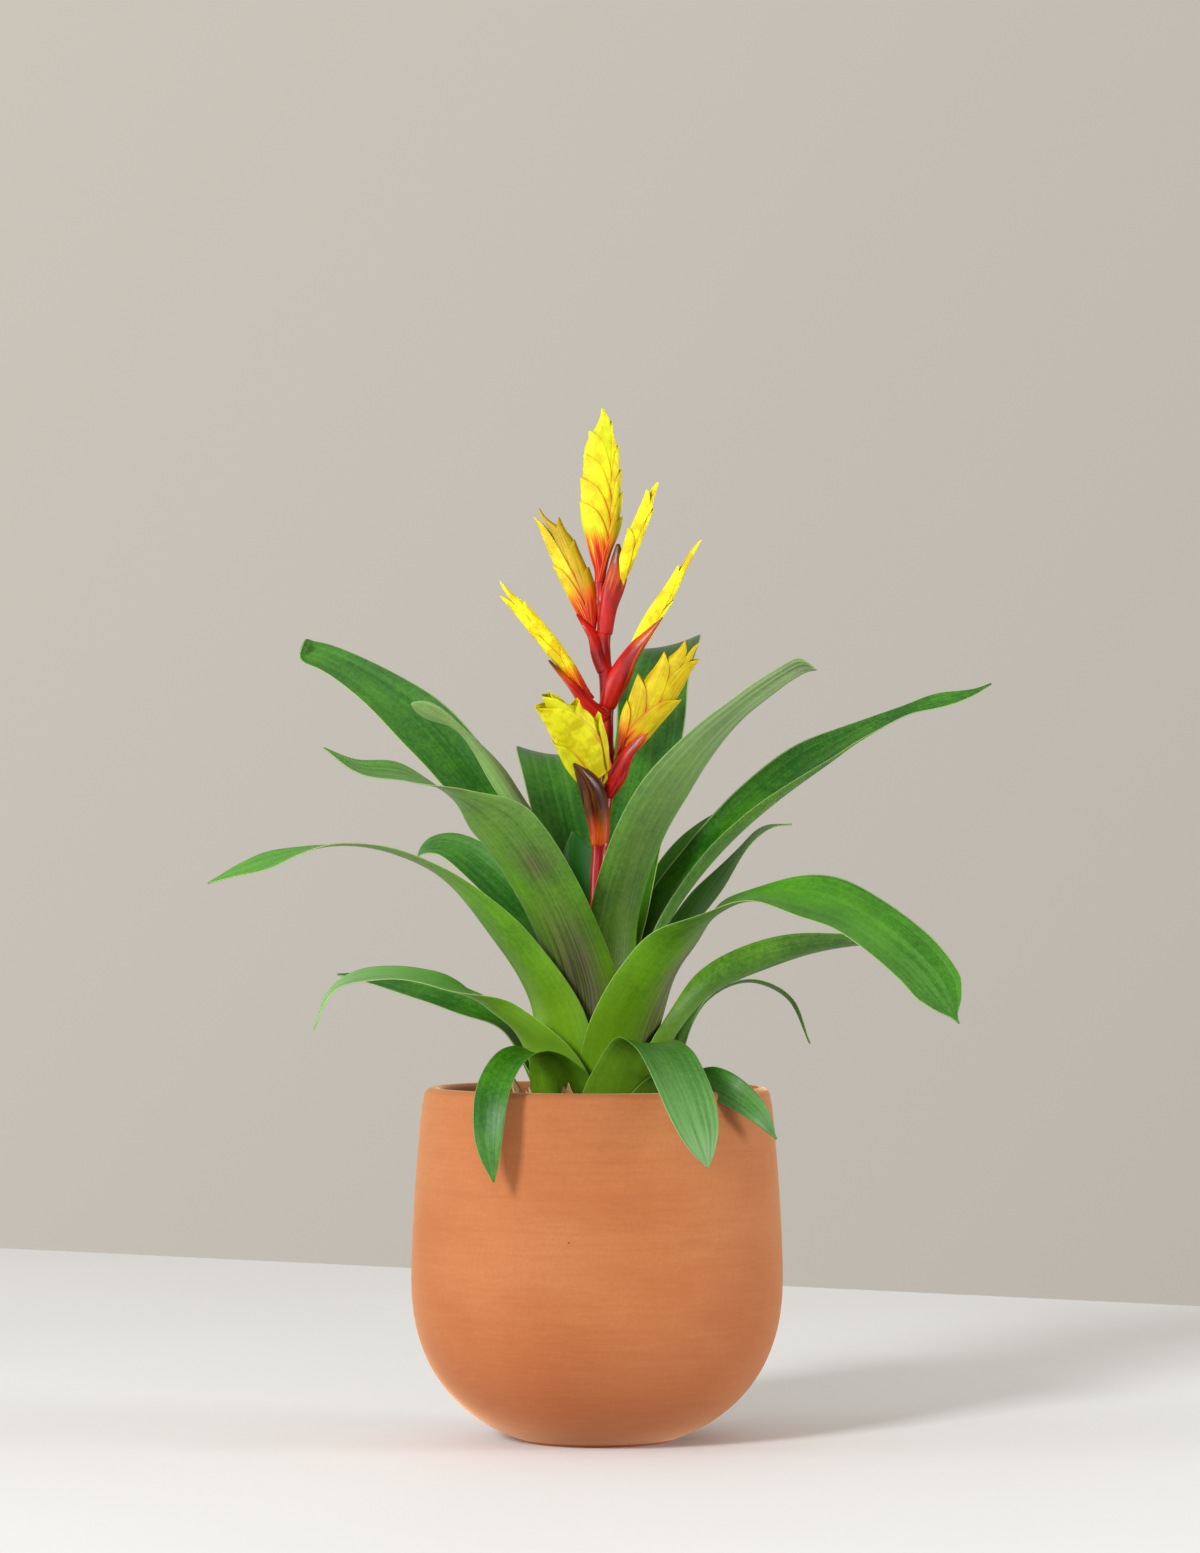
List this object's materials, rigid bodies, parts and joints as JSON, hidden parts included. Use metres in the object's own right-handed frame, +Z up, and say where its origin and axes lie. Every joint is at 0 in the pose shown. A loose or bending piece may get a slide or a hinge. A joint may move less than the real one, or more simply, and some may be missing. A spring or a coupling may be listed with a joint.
{
  "type": "potted bromeliad",
  "caption": "Evita vriesea bromeliad: a rosette of arching strap leaves round a red jointed stem with flat yellow flower spikes, standing in a rounded terracotta pot filled with potting mix.",
  "frame": {"origin": "middle of the pot's flat foot, on the surface it stands on", "axes": "+Z up along the pot's axis; -Y is the front that the picture shows; +X is to the right in that view"},
  "size_m": [0.3185, 0.2612, 0.417],
  "materials": {
    "terracotta": "unglazed fired clay, matte",
    "potting_mix": "loose bark and fibre, matte",
    "short_stem": "dry fibrous stem, matte",
    "leaf": "smooth leathery leaf, soft gloss",
    "red_stem": "smooth waxy stem and bracts, satin",
    "yellow_bract": "smooth waxy bracts, satin"
  },
  "bodies": {
    "root": {"pot": "terracotta", "soil": "potting_mix", "short_stem": "short_stem", "leaf_core": "leaf", "leaf_left_narrow": "leaf", "leaf_back_right_upright": "leaf", "leaf_back_left_upright": "leaf", "leaf_upper_left": "leaf", "leaf_upper_right": "leaf", "leaf_back_left_mid": "leaf", "leaf_right_long": "leaf", "leaf_right_behind": "leaf", "leaf_front_left_big": "leaf", "leaf_right_pale_tip": "leaf", "leaf_back_high": "leaf", "leaf_left_long": "leaf", "leaf_right_big": "leaf", "leaf_back_right_arching": "leaf", "leaf_right_channelled": "leaf", "leaf_lower_left": "leaf", "leaf_lower_left_behind": "leaf", "leaf_back_left_arching": "leaf", "leaf_right_hooked": "leaf", "leaf_over_rim_left": "leaf", "leaf_over_rim_front": "leaf", "leaf_over_rim_right": "leaf", "leaf_over_rim_back": "leaf", "flower_stem": "red_stem", "spike_top": "yellow_bract", "spike_upper_right": "yellow_bract", "spike_upper_left": "yellow_bract", "spike_mid_right": "yellow_bract", "spike_mid_left": "yellow_bract", "spike_lower_right": "yellow_bract", "spike_lower_left": "yellow_bract"}
  },
  "joints": []
}
